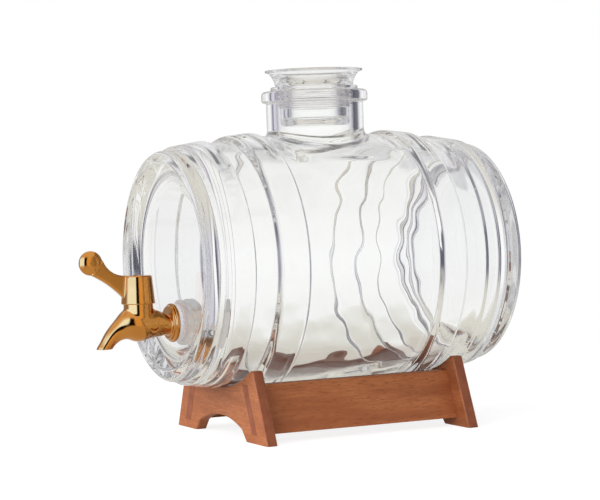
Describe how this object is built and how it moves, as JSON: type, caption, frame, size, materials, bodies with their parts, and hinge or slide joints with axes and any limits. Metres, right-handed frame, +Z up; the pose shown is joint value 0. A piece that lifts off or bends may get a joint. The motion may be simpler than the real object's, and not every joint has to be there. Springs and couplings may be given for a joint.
{
  "type": "glass barrel drink dispenser",
  "caption": "Small hooped glass barrel lying on its side on a wooden stand, with a stoppered filling neck on top and a metal lever tap low in its front end.",
  "frame": {"origin": "centre of the whole object's footprint box, on the table surface under the stand's feet", "axes": "+Z up, +Y along the barrel's axis from the tap end to the rear end, +X across to the right when looking along +Y"},
  "size_m": [0.1124, 0.1868, 0.1576],
  "materials": {
    "beech": "light oiled wood",
    "clear_glass": "clear pressed glass",
    "silicone": "translucent silicone",
    "copper_plate": "polished copper gold plating",
    "white_plastic": "satin moulded plastic",
    "black_rubber": "matt rubber",
    "steel": "bright steel"
  },
  "bodies": {
    "stand": {"end_plate_front": "beech", "end_plate_rear": "beech", "rail_left": "beech", "rail_right": "beech"},
    "barrel": {"glass_barrel": "clear_glass", "tap_body": "copper_plate", "outer_washer": "silicone", "inner_washer": "silicone", "slip_washer": "white_plastic", "shank_nut": "white_plastic", "plug_keeper": "copper_plate"},
    "lever": {"tap_lever": "copper_plate", "valve_plug": "white_plastic", "plug_o_rings": "black_rubber", "lever_screw": "steel"},
    "lid": {"glass_lid": "clear_glass", "lid_seal": "silicone"}
  },
  "joints": [
    {"name": "barrel_lift", "type": "slide", "parent": "stand", "child": "barrel", "axis": [0, 0, 1], "range_m": [0, 0.09]},
    {"name": "tap_turn", "type": "hinge", "parent": "barrel", "child": "lever", "pos_m": [0, -0.0674, 0.0502], "axis": [0, 0, 1], "range_deg": [0, 90]},
    {"name": "lid_lift", "type": "slide", "parent": "barrel", "child": "lid", "axis": [0, 0, 1], "range_m": [0, 0.04]}
  ]
}
